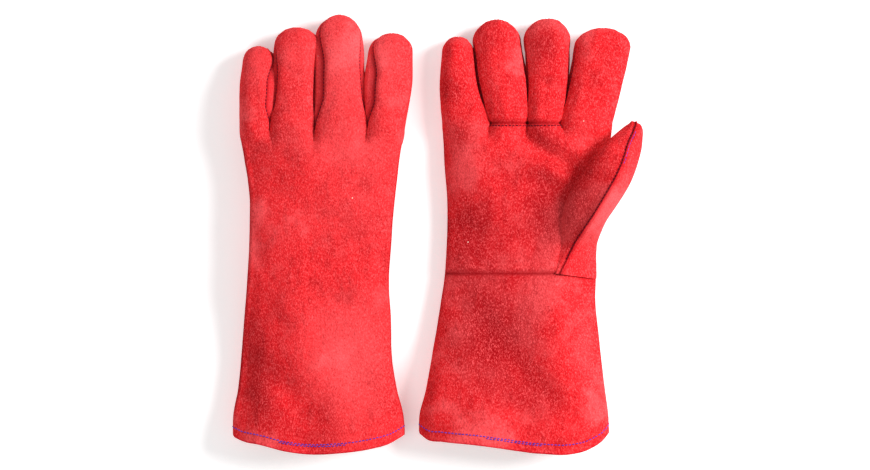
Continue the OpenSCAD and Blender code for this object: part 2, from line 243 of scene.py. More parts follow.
# Powers that shape the arch of a hand: the face on the table is flat, the face on top is full.
LYING_ARCH = (5, 0.5)
OPEN_ARCH = (2.7, 0.62)


def arch(u, powers):
    """Height of a section, from 1 in its middle to 0 at its seams, where u is -1 and 1."""
    return (1 - np.abs(u) ** powers[0]) ** powers[1]


def hand_row(glove, face, y, meeting):
    """One row of a hand or cuff, which turns into the row that meets the fingers."""
    lay = GLOVES[glove]
    left, right = [along(glove, "outline", column, y) for column in (1, 2)]
    face_z = along(glove, "heights", 1 if face == "front" else 3, y)
    seam_z = along(glove, "heights", 2, y)
    u = np.cos(np.linspace(0, math.pi, HAND_SAMPLES)) * (1 if face == "front" else -1)
    lower = (face == "front") == (glove == "left")
    rise = arch(u, LYING_ARCH if lower else OPEN_ARCH)
    across = (left + right) / 2 + (right - left) / 2 * u
    dense = np.array([across, np.full(len(u), y), seam_z + (face_z - seam_z) * rise]).T
    run = lengths_along(meeting)
    plain = resample(dense, run / run[-1])
    share = ease((y - (CROTCH - KNUCKLE_REACH)) / KNUCKLE_REACH) ** 2
    row = plain + (meeting - plain) * share
    hem_rise = through(row[:, 0], *zip(*lay["hem_rise"]))
    row[:, 1] = y + hem_rise * np.clip(-y / lay["cuff"], 0, 1) ** 1.5
    start, end, depth = lay["wrist_dip"]
    row[:, 1] -= depth * ease((row[:, 0] - start) / (end - start)) * math.exp(-(y / DIP_REACH) ** 2)
    return row


# ---- Leather shells -----------------------------------------------------------------------
# All the leather of a glove is worked out as one skin of welded patches, so that its seams meet
# and its shading runs on unbroken where one leather crosses a knuckle line.
ROW_STEP = 2.3
patches = {}


def add_patch(glove, name, rows, seams):
    """rows is a grid of points; seams names which of its edges are sewn: low, high, first and last."""
    patches[glove, name] = {"grid": np.array(rows), "seams": seams}


for glove, lay in GLOVES.items():
    for face in ("front", "back"):
        meeting = knuckle_row(glove, face)
        cuff_ys = np.linspace(-lay["cuff"], 0, round(lay["cuff"] / ROW_STEP) + 1)
        hand_ys = np.linspace(0, CROTCH, round(CROTCH / ROW_STEP) + 1)
        cuff_rows = [hand_row(glove, face, y, meeting) for y in cuff_ys]
        hand_rows = [hand_row(glove, face, y, meeting) for y in hand_ys]
        if face == "front":
            add_patch(glove, "gauntlet_front", cuff_rows, {"high", "first", "last"})
            add_patch(glove, "palm_panel", hand_rows, {"low", "first", "last"})
        else:
            add_patch(glove, "back_panel", cuff_rows + hand_rows[1:], {"first", "last"})
    for finger in FINGERS:
        length = lay["fingers"][finger][2] - CROTCH
        steps = round(length / ROW_STEP) + 6
        shares = [1 - (1 - k / steps) ** 1.25 for k in range(steps + 1)]
        strips = [p for p, sewn in zip(("index_strip", "little_strip"), STRIP_SIDES[finger]) if sewn]
        for part in sorted(["front", "back"] + strips):
            seams = {"first", "last"}
            if part == "front" and finger in ("middle", "ring"):
                seams.add("low")
            rows = [finger_part(glove, finger, share, part) for share in shares]
            add_patch(glove, finger + "_" + part, rows, seams)

# Thumb rows: (edge toward the fingers), (outer edge), top, bottom, place of the ridge across the row.
THUMBS = {
    "right": [((26, 0), (59.2, -4.4), 24.6, 2, 0.1), ((28.4, 23), (59.4, 17), 29, 5, 0.36),
              ((30.4, 42), (61.8, 27.5), 35, 9, 0.54), ((34.6, 58), (67.4, 40.6), 41, 14, 0.64),
              ((42.6, 75.5), (76.4, 58.4), 45, 19, 0.68), ((53.4, 89.5), (84.8, 73), 46, 21, 0.65),
              ((62.8, 101), (90.0, 87), 44, 21, 0.62), ((71.6, 110.6), (92.8, 99.4), 39, 21, 0.56),
              ((79.6, 118.0), (94.4, 110.2), 33, 20, 0.56), ((84.6, 121.6), (94.4, 116.8), 29, 21.6, 0.55),
              ((87.8, 122.8), (92.0, 120.8), 26, 23.4, 0.5)],
    "left": [((14, 1), (44, 1), 26, 12, 0.9), ((-2, 18), (37, 18), 13.5, 2, 0.7),
             ((-12, 40), (31, 40), 12.6, 0.4, 0.6), ((-20, 62), (24, 62), 12.4, 0.4, 0.5),
             ((-26, 84), (14, 84), 12.2, 0.4, 0.45), ((-28, 99), (3, 99), 11.8, 0.6, 0.45),
             ((-25, 109), (-6, 109), 10.8, 1.4, 0.5), ((-20, 115), (-12, 115), 7.5, 4.5, 0.5)],
}
THUMB_ROWS = 56
THUMB_COLUMNS = 18
# How sharply a thumb's section narrows to its ridge seam.
THUMB_PINCH = {"right": 2 / 1.8, "left": 2 / 2.3}
# Angle of the seam under the thumb, and how deep the thumb's root is set into the palm.
UNDER_SEAM = 255
ROOT_DEPTH = 8


def palm_height(glove, points):
    """Height of the palm's leather at the given places."""
    left, right = [along(glove, "outline", column, points[:, 1]) for column in (1, 2)]
    face, seam = [along(glove, "heights", column, points[:, 1]) for column in (1, 2)]
    u = np.clip((points[:, 0] - (left + right) / 2) / ((right - left) / 2), -1, 1)
    return seam + (face - seam) * arch(u, OPEN_ARCH)


for glove, stations in THUMBS.items():
    table = [(*toward, *outer, top, bottom, ridge) for toward, outer, top, bottom, ridge in stations]
    at = np.linspace(0, 1, len(table))
    rows = {"thumb_outer": [], "thumb_inner": []}
    for share in np.linspace(0, 1, THUMB_ROWS + 1):
        lx, ly, rx, ry, top, bottom, ridge = [float(through(share, at, column)) for column in zip(*table)]
        inner_edge, across = np.array([lx, ly]), np.array([rx - lx, ry - ly])
        for part, start, end in (("thumb_outer", UNDER_SEAM - 360, 90), ("thumb_inner", 90, UNDER_SEAM)):
            angles = np.radians(np.linspace(start, end, THUMB_COLUMNS * SAMPLES_PER_COLUMN + 1))
            power = THUMB_PINCH[glove]
            aside, aloft = signed_power(np.cos(angles), power), signed_power(np.sin(angles), power)
            place_across = ridge + np.where(aside > 0, (1 - ridge) * aside, ridge * aside)
            flat = inner_edge + np.outer(place_across, across)
            dense = np.column_stack([flat, (top + bottom) / 2 + (top - bottom) / 2 * aloft])
            if glove == "right":
                palm = palm_height(glove, dense) + np.where(aloft > 0, 1.0, ROOT_DEPTH) * aloft
                dense[:, 2] = palm + (dense[:, 2] - palm) * ease(share / 0.22)
            rows[part].append(resample(dense, np.linspace(0, 1, THUMB_COLUMNS + 1)))
    for part, grid in rows.items():
        add_patch(glove, part, grid, {"first", "last"})


# Creases pressed into the leather of the upper face, and soft ridges with a depth below zero:
# from, to, depth, width.
CREASES = {
    "right": [((-12, 116), (48, 80), 3.8, 6), ((2, 123), (56, 94), -2.4, 7),
              ((2, 88), (38, 80), -2.2, 5.5), ((10, 74), (34, 70), 1.8, 5),
              ((-46, 104), (-18, 84), 1.2, 7), ((-60, 40), (-14, 28), 1.2, 9),
              ((2, 72), (32, 62), 1.6, 8), ((-8, 18), (26, 36), 1.4, 9), ((-40, 66), (-6, 58), -1.0, 10),
              ((22, -8), (34, -128), -4.2, 24), ((-20, -60), (40, -118), 3.2, 11),
              ((-56, -24), (-20, -56), 2.0, 12), ((-66, -70), (-76, -122), -1.8, 9),
              ((-44, -104), (-16, -122), -1.8, 10), ((-20, 138), (-21, 124), 1.2, 2.4),
              ((-10, 140), (-9, 124), 1.2, 2.2), ((6, 142), (5, 124), 1.2, 2.4),
              ((16, 138), (18, 124), 1.1, 2.2), ((-16, 170), (2, 164), 0.8, 4),
              ((8, 158), (26, 152), 0.9, 4)],
    "left": [((-46, -70), (-4, -122), 4.2, 13), ((-60, -40), (-62, -120), 2.4, 10),
             ((-20, -20), (0, -80), -2.6, 22), ((18, -60), (46, -104), 2.2, 12),
             ((-52, 84), (-6, 60), 1.6, 14), ((6, 96), (40, 70), 1.4, 13), ((-46, 6), (0, 22), 1.8, 14),
             ((10, -10), (48, -34), 1.8, 12), ((-58, -20), (-22, -44), 1.6, 12),
             ((-34, 172), (-14, 164), 0.8, 4), ((-44, 118), (-56, 104), 1.0, 4),
             ((-6, 118), (-8, 102), 1.1, 4), ((34, 118), (26, 102), 1.1, 4),
             ((14, 160), (28, 132), 0.8, 5)],
}
# Size and depth of the soft waves that run all over the leather.
WAVES = [(62, 3.0), (27, 1.5), (11, 0.5), (5, 0.2)]
# A seam lies in a groove, with a full shoulder of leather on each side. A thumb's seams stand up instead.
SEAM_DEPTH = 1.1
SEAM_WIDTH = 1.5
# Width over which the leather is painted darker along a seam, as painted shade.
SEAM_SHADE_WIDTH = 1.9
SHOULDER = 0.9
SHOULDER_PLACE = 3.6
SHOULDER_WIDTH = 1.6
RIDGE_HEIGHT = 1.1
LEATHER = 1.3
# Waves and creases fade out over this length before a seam, and near the table.
CALM_LENGTH = 6
TABLE_CALM = 4
FACES_UP = 0.2
FACES_DOWN = -0.3


def seam_distance(patch):
    """Distance of each point of a patch from its nearest sewn edge."""
    grid = patch["grid"]
    along = np.array([lengths_along(row) for row in grid])
    down = np.array([lengths_along(grid[:, c]) for c in range(grid.shape[1])]).T
    options = {"first": along, "last": along[:, -1:] - along, "low": down, "high": down[-1:] - down}
    return np.min([options[edge] for edge in patch["seams"]], axis=0)


def weld(glove, names):
    """One mesh of the named patches: points, quads, and each patch's point numbers."""
    stacked = np.concatenate([patches[glove, n]["grid"].reshape(-1, 3) for n in names])
    near = np.concatenate([seam_distance(patches[glove, n]).ravel() for n in names])
    key, first, number = np.unique(np.round(stacked, 3), axis=0, return_index=True, return_inverse=True)
    number = number.ravel()
    distance = np.full(len(key), 1e3)
    np.minimum.at(distance, number, near)
    quads, offset, ids = [], 0, {}
    for n in names:
        rows, columns = patches[glove, n]["grid"].shape[:2]
        ids[n] = number[offset:offset + rows * columns].reshape(rows, columns)
        offset += rows * columns
        i = ids[n]
        quads.append(np.stack([i[:-1, :-1], i[:-1, 1:], i[1:, 1:], i[1:, :-1]], axis=-1).reshape(-1, 4))
    return stacked[first], np.concatenate(quads), ids, distance


def point_normals(points, quads):
    cross = np.cross(points[quads[:, 2]] - points[quads[:, 0]], points[quads[:, 3]] - points[quads[:, 1]])
    normals = np.zeros_like(points)
    for k in range(4):
        np.add.at(normals, quads[:, k], cross)
    return normals / np.maximum(np.linalg.norm(normals, axis=1, keepdims=True), 1e-9)


def wrinkle(points, normals, glove):
    """Height in millimetres of the soft waves and pressed creases of the leather as it lies."""
    seed = 40 if glove == "left" else 0
    height = np.zeros(len(points))
    for size, depth in WAVES:
        places = points / size * (1, 0.8, 1) + (seed, 0, 0)
        height += depth * np.array([noise.noise(Vector(p)) for p in places])
    for start, end, depth, width in CREASES[glove]:
        start, line = np.array(start, float), np.array(end, float) - np.array(start, float)
        t = ((points[:, :2] - start) @ line) / (line @ line)
        foot = start + np.clip(t, 0, 1)[:, None] * line
        off = np.linalg.norm(points[:, :2] - foot, axis=1)
        fade = ease(1.2 - np.abs(t - 0.5) * 1.6)
        height -= np.where(normals[:, 2] > FACES_UP, depth * np.exp(-(off / width) ** 2) * fade, 0)
    return height


# Broad patches painted lighter above zero and darker below zero. They are painted light and painted shade
# where light falls on the leather and where shade lies on it, such as the shaded inner face and the lit outer
# face of the right thumb, and partly nap that lies another way. Middle of each patch, its two radii,
# strength.
NAP_PAINTED_LIGHT_AND_SHADE = {
    ("right", "hand"): [((0, 20), (100, 190), -0.4), ((-26, -52), (36, 44), -0.6),
        ((22, -104), (40, 24), -0.4), ((48, -70), (17, 80), 0.6), ((-4, -118), (20, 9), 0.3),
        ((-74, -90), (8, 50), 0.25), ((-44, 24), (22, 34), -0.4), ((18, 48), (18, 34), -0.45),
        ((18, 186), (16, 24), -0.5), ((18, 150), (12, 16), 0.25), ((-18, 160), (14, 36), 0.3),
        ((66, 120), (22, 26), 0.2), ((24, 110), (20, 10), -0.3), ((-10, 104), (30, 10), 0.3),
        ((-50, 110), (12, 20), -0.3)],
    ("right", "thumb_inner"): [((45, 56), (30, 60), -0.7)],
    ("right", "thumb_outer"): [((70, 50), (30, 60), 0.45)],
    ("left", "hand"): [((10, 60), (90, 170), 0.34), ((-46, -84), (14, 46), -0.75),
        ((-18, -116), (18, 16), -0.5), ((24, -70), (34, 60), 0.35), ((6, 10), (46, 30), -0.25),
        ((14, 180), (20, 40), 0.35), ((56, 180), (16, 30), 0.3), ((-54, 176), (12, 26), 0.3),
        ((-20, 80), (36, 26), -0.2), ((-22, 184), (14, 22), 0.2), ((20, 104), (40, 14), 0.2)],
}


def painted_light_and_shade(glove, patch, points):
    """Painted light and shade at the points of a patch, from dark below zero to light above it, partly
    standing for nap that lies another way.
    """
    light_and_shade = np.zeros(points.shape[:-1])
    for middle, radii, strength in NAP_PAINTED_LIGHT_AND_SHADE.get((glove, patch if "thumb" in patch else "hand"), []):
        off = (points[..., :2] - np.array(middle)) / np.array(radii)
        light_and_shade += strength * np.exp(-(off ** 2).sum(axis=-1))
    return light_and_shade


skins = {}
for glove in GLOVES:
    hand_names = [n for g, n in patches if g == glove and "thumb" not in n]
    for group, names in (("hand", hand_names), ("thumb", ["thumb_outer", "thumb_inner"])):
        points, quads, ids, distance = weld(glove, names)
        normals = point_normals(points, quads)
        centre = points.mean(axis=0)
        inside_out = np.sum(normals * (points - centre)) < 0
        if inside_out:
            quads, normals = quads[:, ::-1], -normals
        groove = np.exp(-(distance / SEAM_WIDTH) ** 2)
        height = wrinkle(points, normals, glove) * np.clip(distance / CALM_LENGTH, 0.25, 1)
        height += RIDGE_HEIGHT * groove if group == "thumb" else -SEAM_DEPTH * groove
        height += SHOULDER * np.exp(-((distance - SHOULDER_PLACE) / SHOULDER_WIDTH) ** 2)
        resting = np.clip((points[:, 2] - 0.5) / TABLE_CALM, 0, 1)
        points = points + normals * (height * np.where(normals[:, 2] < FACES_DOWN, resting * 0.5, 1))[:, None]
        skins[glove, group] = {"points": points, "ids": ids, "distance": distance, "flip": inside_out,
                               "normals": point_normals(points, quads)}


def place(glove, points):
    """Millimetres from a glove's line into metres in the shared frame."""
    lay = GLOVES[glove]
    return (np.asarray(points, float) + np.array([lay["line_x"], lay["wrist_y"], 0])) * MM


def skin_of(glove, name):
    return skins[glove, "thumb" if "thumb" in name else "hand"]


def point_values(mesh, label, values):
    """Stores a number or a place for each point, for the materials to read."""
    kind, field = ("FLOAT", "value") if values.ndim == 1 else ("FLOAT_VECTOR", "vector")
    made = mesh.attributes.new(label, kind, "POINT")
    made.data.foreach_set(field, values.astype(np.float32).ravel())


def add_piece(mesh):
    piece = bpy.data.objects.new(mesh.name, mesh)
    bpy.context.scene.collection.objects.link(piece)
    return piece


def sheet_mesh(name, glove, patch, outer, inner, normals, seam, closed, flip):
    """A ply with both faces and its rims, from two grids of points. closed joins its columns in a ring."""
    rows, columns = outer.shape[:2]
    cells = columns if closed else columns - 1
    total = rows * columns
    r, c = np.meshgrid(np.arange(rows - 1), np.arange(cells), indexing="ij")
    a, b = r * columns + c, r * columns + (c + 1) % columns
    face = np.stack([a, b, b + columns, a + columns], axis=-1).reshape(-1, 4)
    if flip:
        face = face[:, ::-1]
    edges = [np.arange(cells), (rows - 1) * columns + np.arange(cells)]
    rims = []
    for edge, turned in zip(edges, (False, True)):
        nxt = edge - edge % columns + (edge + 1) % columns
        rims.append((np.stack([edge + total, nxt + total, nxt, edge], axis=-1), turned))
    if not closed:
        first_column = np.arange(rows - 1) * columns
        for edge, turned in ((first_column, True), (first_column + columns - 1, False)):
            corners = [edge + total, edge + columns + total, edge + columns, edge]
            rims.append((np.stack(corners, axis=-1), turned))
    rim = np.concatenate([q[:, ::-1] if turned != flip else q for q, turned in rims])
    faces = np.concatenate([face, face[:, ::-1] + total, rim])
    points = np.concatenate([outer.reshape(-1, 3), inner.reshape(-1, 3)])
    mesh = bpy.data.meshes.new(name)
    mesh.from_pydata(place(glove, points).tolist(), [], faces.tolist())
    smooth = np.ones(len(faces), bool)
    smooth[2 * len(face):] = False
    mesh.polygons.foreach_set("use_smooth", smooth)
    corner = np.concatenate([normals.reshape(-1, 3), -normals.reshape(-1, 3)])[faces]
    corner[2 * len(face):] = 0
    mesh.normals_split_custom_set(corner.reshape(-1, 3).tolist())
    # Painted shade: the leather is painted darker close to its seams, where shade lies in their grooves.
    painted_seam_shade = np.exp(-(seam.ravel() / SEAM_SHADE_WIDTH) ** 2)
    point_values(mesh, "sewn", np.tile(painted_seam_shade, 2))
    point_values(mesh, "nap_place", place(glove, points))
    # Broad patches of painted light and shade, which the suede paints lighter and darker.
    point_values(mesh, "nap_painted_light_shade", painted_light_and_shade(glove, patch, points))
    return add_piece(mesh)


def leather_piece(glove, patch):
    """One cut piece of leather, as a closed ply."""
    skin = skin_of(glove, patch)
    ids = skin["ids"][patch]
    outer, normals = skin["points"][ids], skin["normals"][ids]
    name = glove + "_" + patch + "_leather"
    inner = outer - normals * LEATHER
    piece = sheet_mesh(name, glove, patch, outer, inner, normals, skin["distance"][ids], False, skin["flip"])
    return piece


def body_name(glove, patch):
    """The moving body that a patch or a thread belongs to."""
    first = patch.split("_")[0]
    return glove + "_" + (first if first in FINGERS + ["thumb"] else "hand")


def go_with(piece, glove, patch):
    """Hand pieces ride on the hand. Finger and thumb pieces have their placement baked into their points and
    ride on no body.
    """
    hand, moving = glove + "_hand", body_name(glove, patch)
    if moving == hand:
        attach(piece, hand)
        return
    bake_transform(piece)


# ---- Suede --------------------------------------------------------------------------------
# The leather is split cowhide dyed red all through, with its nap up on both sides. It is dull and
# uneven: brushed places are lighter, and pale lint sits in the nap. Its colour also holds painted light
# and shade: broad patches painted lighter and darker, and painted shade along the seams.
def new_finish(name, roughness, specular):
    """A material with its node tree and its shader."""
    made = bpy.data.materials.new(name)
    made.use_nodes = True
    shader = made.node_tree.nodes["Principled BSDF"]
    shader.inputs["Roughness"].default_value = roughness
    shader.inputs["Specular IOR Level"].default_value = specular
    return made, made.node_tree, shader


def node(tree, kind, **values):
    made = tree.nodes.new(kind)
    for key, value in values.items():
        setattr(made, key, value)
    return made


def named_noise(tree, place_socket, scale, detail=3.0, roughness=0.55, stretch=None):
    source = place_socket
    if stretch:
        mapping = node(tree, "ShaderNodeMapping")
        mapping.inputs["Scale"].default_value = stretch
        mapping.inputs["Rotation"].default_value = (0, 0, 0.5)
        tree.links.new(place_socket, mapping.inputs["Vector"])
        source = mapping.outputs["Vector"]
    texture = node(tree, "ShaderNodeTexNoise")
    texture.inputs["Scale"].default_value = scale
    texture.inputs["Detail"].default_value = detail
    texture.inputs["Roughness"].default_value = roughness
    tree.links.new(source, texture.inputs["Vector"])
    return texture.outputs["Fac"]


def ramp(tree, value, low, high):
    """0 below low, 1 above high, and the other way round where low is the larger."""
    made = node(tree, "ShaderNodeMapRange", interpolation_type="SMOOTHSTEP")
    made.inputs["From Min"].default_value = low
    made.inputs["From Max"].default_value = high
    tree.links.new(value, made.inputs["Value"])
    return made.outputs["Result"]


def feed(tree, sockets, values):
    """Links each value that is a socket, and sets each value that is a constant."""
    for socket, value in zip(sockets, values):
        if isinstance(value, bpy.types.NodeSocket):
            tree.links.new(value, socket)
        else:
            socket.default_value = value


def mix(tree, share, first, second):
    """Mixes two colours."""
    made = node(tree, "ShaderNodeMix", data_type="RGBA")
    feed(tree, (made.inputs[0], made.inputs[6], made.inputs[7]), (share, first, second))
    return made.outputs[2]


def math_node(tree, operation, first, second):
    made = node(tree, "ShaderNodeMath", operation=operation)
    feed(tree, made.inputs, (first, second))
    return made.outputs[0]


def relief(tree, shader, height, strength, distance):
    """Raises the surface by a height, as fine relief."""
    bump = node(tree, "ShaderNodeBump")
    bump.inputs["Strength"].default_value = strength
    bump.inputs["Distance"].default_value = distance
    tree.links.new(height, bump.inputs["Height"])
    tree.links.new(bump.outputs["Normal"], shader.inputs["Normal"])


nap = bpy.data.node_groups.new("suede_nap", "ShaderNodeTree")
LINT = (0.9, 0.6, 0.5, 1)
for label in ("Middle", "Brushed_and_lit", "Worn_and_shaded", "Lint"):
    nap.interface.new_socket(label, in_out="INPUT", socket_type="NodeSocketColor").default_value = LINT
nap.interface.new_socket("Color", in_out="OUTPUT", socket_type="NodeSocketColor")
nap.interface.new_socket("Height", in_out="OUTPUT", socket_type="NodeSocketFloat")
taken = nap.nodes.new("NodeGroupInput")
given = nap.nodes.new("NodeGroupOutput")
where = node(nap, "ShaderNodeAttribute", attribute_name="nap_place").outputs["Vector"]
sewn = node(nap, "ShaderNodeAttribute", attribute_name="sewn").outputs["Fac"]
mottle = named_noise(nap, where, 17, 4, 0.6)
patchy = named_noise(nap, where, 95, 4, 0.6)
streak = named_noise(nap, where, 210, 3, 0.6, (1, 0.35, 1))
grain = named_noise(nap, where, 1000, 4, 0.85, (1, 0.55, 1))
fibre = named_noise(nap, where, 1500, 2, 0.7)
# Painted light and shade: broad patches, painted lighter above zero and darker below zero.
painted_light_shade = node(nap, "ShaderNodeAttribute", attribute_name="nap_painted_light_shade").outputs["Fac"]
color = taken.outputs["Middle"]
# What each layer follows, its range from none to full, its strength, and the tone it brings. The two layers
# of the broad patches bring painted light and painted shade; the other layers are random tone.
layers = [(mottle, 0.52, 0.68, 0.55, "Brushed_and_lit"), (mottle, 0.5, 0.36, 0.38, "Worn_and_shaded"),
          (patchy, 0.5, 0.72, 0.2, "Brushed_and_lit"), (streak, 0.52, 0.3, 0.3, "Worn_and_shaded"),
          (painted_light_shade, 0, 1.2, 1, "Brushed_and_lit"), (painted_light_shade, 0, -1.2, 1, "Worn_and_shaded"),
          (grain, 0.5, 0.34, 0.6, "Worn_and_shaded"), (grain, 0.5, 0.64, 0.7, "Brushed_and_lit")]
for source, none, full, strength, tone in layers:
    share = math_node(nap, "MULTIPLY", ramp(nap, source, none, full), strength)
    color = mix(nap, share, color, taken.outputs[tone])
# Painted shade along the seams, toward the darker tone.
color = mix(nap, math_node(nap, "MULTIPLY", sewn, 0.8), color, taken.outputs["Worn_and_shaded"])
specks = node(nap, "ShaderNodeTexVoronoi", feature="F1")
specks.inputs["Scale"].default_value = 75
nap.links.new(where, specks.inputs["Vector"])
chosen = node(nap, "ShaderNodeSeparateColor")
nap.links.new(specks.outputs["Color"], chosen.inputs["Color"])
speck = ramp(nap, specks.outputs["Distance"], 0.05, 0.03)
lint = math_node(nap, "MULTIPLY", speck, ramp(nap, chosen.outputs[0], 0.86, 0.88))
color = mix(nap, lint, color, taken.outputs["Lint"])
nap.links.new(color, given.inputs["Color"])
height = math_node(nap, "MULTIPLY", grain, 0.6)
for source, strength in ((fibre, 0.3), (patchy, 0.5)):
    height = math_node(nap, "ADD", height, math_node(nap, "MULTIPLY", source, strength))
nap.links.new(height, given.inputs["Height"])


def suede(name, middle, brushed_and_lit, worn_and_shaded):
    """Red split leather in its middle tone, a lighter tone for brushed places and painted light, and a darker
    tone for worn places and painted shade.
    """
    made, tree, shader = new_finish(name, 0.95, 0.03)
    group = node(tree, "ShaderNodeGroup", node_tree=nap)
    for label, tone in (("Middle", middle), ("Brushed_and_lit", brushed_and_lit), ("Worn_and_shaded", worn_and_shaded)):
        group.inputs[label].default_value = (*tone, 1)
    tree.links.new(group.outputs["Color"], shader.inputs["Base Color"])
    relief(tree, shader, group.outputs["Height"], 0.55, 0.0012)
    shader.inputs["Sheen Weight"].default_value = 0.07
    shader.inputs["Sheen Roughness"].default_value = 0.45
    shader.inputs["Sheen Tint"].default_value = (1.0, 0.35, 0.35, 1)
    return made


# Each suede's lighter tone paints brushed places and painted light. Its darker tone paints worn places and
# painted shade.
red_suede = suede("red_suede", (0.76, 0.015, 0.020), (1.0, 0.120, 0.130), (0.27, 0.002, 0.005))
# The strips' suede is painted lighter than the main suede, as painted light, so that the strips, which lie in
# shade on the fingers' sides, look as bright as leather facing up.
strip_suede = suede("strip_suede", (0.88, 0.030, 0.038), (1.0, 0.120, 0.130), (0.40, 0.004, 0.009))
hem_suede = suede("hem_suede", (0.70, 0.015, 0.022), (0.94, 0.075, 0.090), (0.28, 0.003, 0.007))
welt_suede = suede("welt_suede", (0.56, 0.010, 0.016), (0.78, 0.045, 0.055), (0.22, 0.002, 0.005))


# ---- Hand, cuff and finger leathers -------------------------------------------------------
# Palm, cuff front, one-piece back, finger fronts and backs, and the narrow strips between the fingers,
# each cut from 1.3 mm suede and sewn edge to edge.
STRIP_NODES = {"index_little_strip": "index_side", "middle_index_strip": "middle_index_side",
               "middle_little_strip": "middle_ring_side", "ring_index_strip": "ring_middle_side",
               "ring_little_strip": "ring_little_side", "little_index_strip": "little_side"}
for glove, patch in patches:
    piece = leather_piece(glove, patch)
    is_strip = "strip" in patch
    # The side strips take the suede painted lighter, as painted light.
    piece.data.materials.append(strip_suede if is_strip else red_suede)
    go_with(piece, glove, patch)
    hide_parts(glove + "_" + STRIP_NODES.get(patch, patch))


# ---- Linings ------------------------------------------------------------------------------
# Brushed cotton fleece lines the hand, the fingers and the thumb. Plain-weave canvas lines the cuff.
WEAVE = 160


def lining_finish(name, pale, deep, weave):
    """Soft cotton. A weave adds crossed threads."""
    made, tree, shader = new_finish(name, 0.95, 0.15)
    where = node(tree, "ShaderNodeAttribute", attribute_name="nap_place").outputs["Vector"]
    soft = named_noise(tree, where, WEAVE, 4, 0.65)
    color = mix(tree, ramp(tree, soft, 0.3, 0.75), deep, pale)
    height = soft
    if weave:
        threads = []
        for direction in ("X", "Y"):
            wave = node(tree, "ShaderNodeTexWave", bands_direction=direction)
            wave.inputs["Scale"].default_value = WEAVE
            wave.inputs["Distortion"].default_value = 0.6
            tree.links.new(where, wave.inputs["Vector"])
            threads.append(wave.outputs["Fac"])
        height = math_node(tree, "MULTIPLY", threads[0], threads[1])
        color = mix(tree, math_node(tree, "MULTIPLY", ramp(tree, height, 0.5, 0.05), 0.6), color, deep)
    tree.links.new(color, shader.inputs["Base Color"])
    relief(tree, shader, height, 0.6, 0.0006)
    shader.inputs["Sheen Weight"].default_value = 0.25
    return made


fleece = lining_finish("fleece", (0.84, 0.80, 0.70, 1), (0.60, 0.54, 0.44, 1), False)
canvas = lining_finish("canvas", (0.72, 0.62, 0.45, 1), (0.42, 0.33, 0.21, 1), True)
LINING_GAP = 0.5
LINING = 1.0
HEM_DEPTH = 9
# A seam distance so large that nothing is shaded as sewn.
NO_SEAM = 99.0
# Rows by which the linings stop short of the fingertips, the thumb's root and the thumb's tip.
FINGER_LINING_SHORT = 3
THUMB_LINING_START = 10
THUMB_LINING_SHORT = 6


def loop_grid(glove, names, first_row, last_row):
    """Rows of a whole section: the named patches side by side, without the far column of each."""
    skin = skin_of(glove, names[0])
    ids = np.concatenate([skin["ids"][n][first_row:last_row, :-1] for n in names], axis=1)
    return skin, ids


def lining_piece(glove, label, names, first_row, last_row, material):
    """A tube of lining just inside the named leathers."""
    skin, ids = loop_grid(glove, names, first_row, last_row)
    normals = skin["normals"][ids]
    outer = skin["points"][ids] - normals * (LEATHER + LINING_GAP)
    inner = outer - normals * LINING
    seam = np.full(ids.shape, NO_SEAM)
    name = glove + "_" + label + "_cloth"
    piece = sheet_mesh(name, glove, label, outer, inner, normals, seam, True, skin["flip"])
    piece.data.materials.append(material)
    go_with(piece, glove, label)
    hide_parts(glove + "_" + label)


for glove in GLOVES:
    cuff_count = len(patches[glove, "gauntlet_front"]["grid"])
    hand_count = len(patches[glove, "palm_panel"]["grid"])
    skin = skins[glove, "hand"]
    back_rows = {"cuff_back": slice(0, cuff_count), "hand_back": slice(cuff_count - 1, None)}
    for part, part_rows in back_rows.items():
        skin["ids"][part] = skin["ids"]["back_panel"][part_rows]
        patches[glove, part] = {"grid": patches[glove, "back_panel"]["grid"][part_rows]}
    hem_rows = round(HEM_DEPTH / ROW_STEP) - 1
    lining_piece(glove, "gauntlet_lining", ["gauntlet_front", "cuff_back"], hem_rows, cuff_count, canvas)
    lining_piece(glove, "hand_lining", ["palm_panel", "hand_back"], 0, hand_count, fleece)
    for finger in FINGERS:
        to_index, to_little = STRIP_SIDES[finger]
        names = ([finger + "_front"] + [finger + "_little_strip"] * to_little + [finger + "_back"]
                 + [finger + "_index_strip"] * to_index)
        rows = len(patches[glove, finger + "_front"]["grid"])
        lining_piece(glove, finger + "_lining", names, 0, rows - FINGER_LINING_SHORT, fleece)
    lining_piece(glove, "thumb_lining", ["thumb_inner", "thumb_outer"], THUMB_LINING_START,
                 THUMB_ROWS - THUMB_LINING_SHORT, fleece)


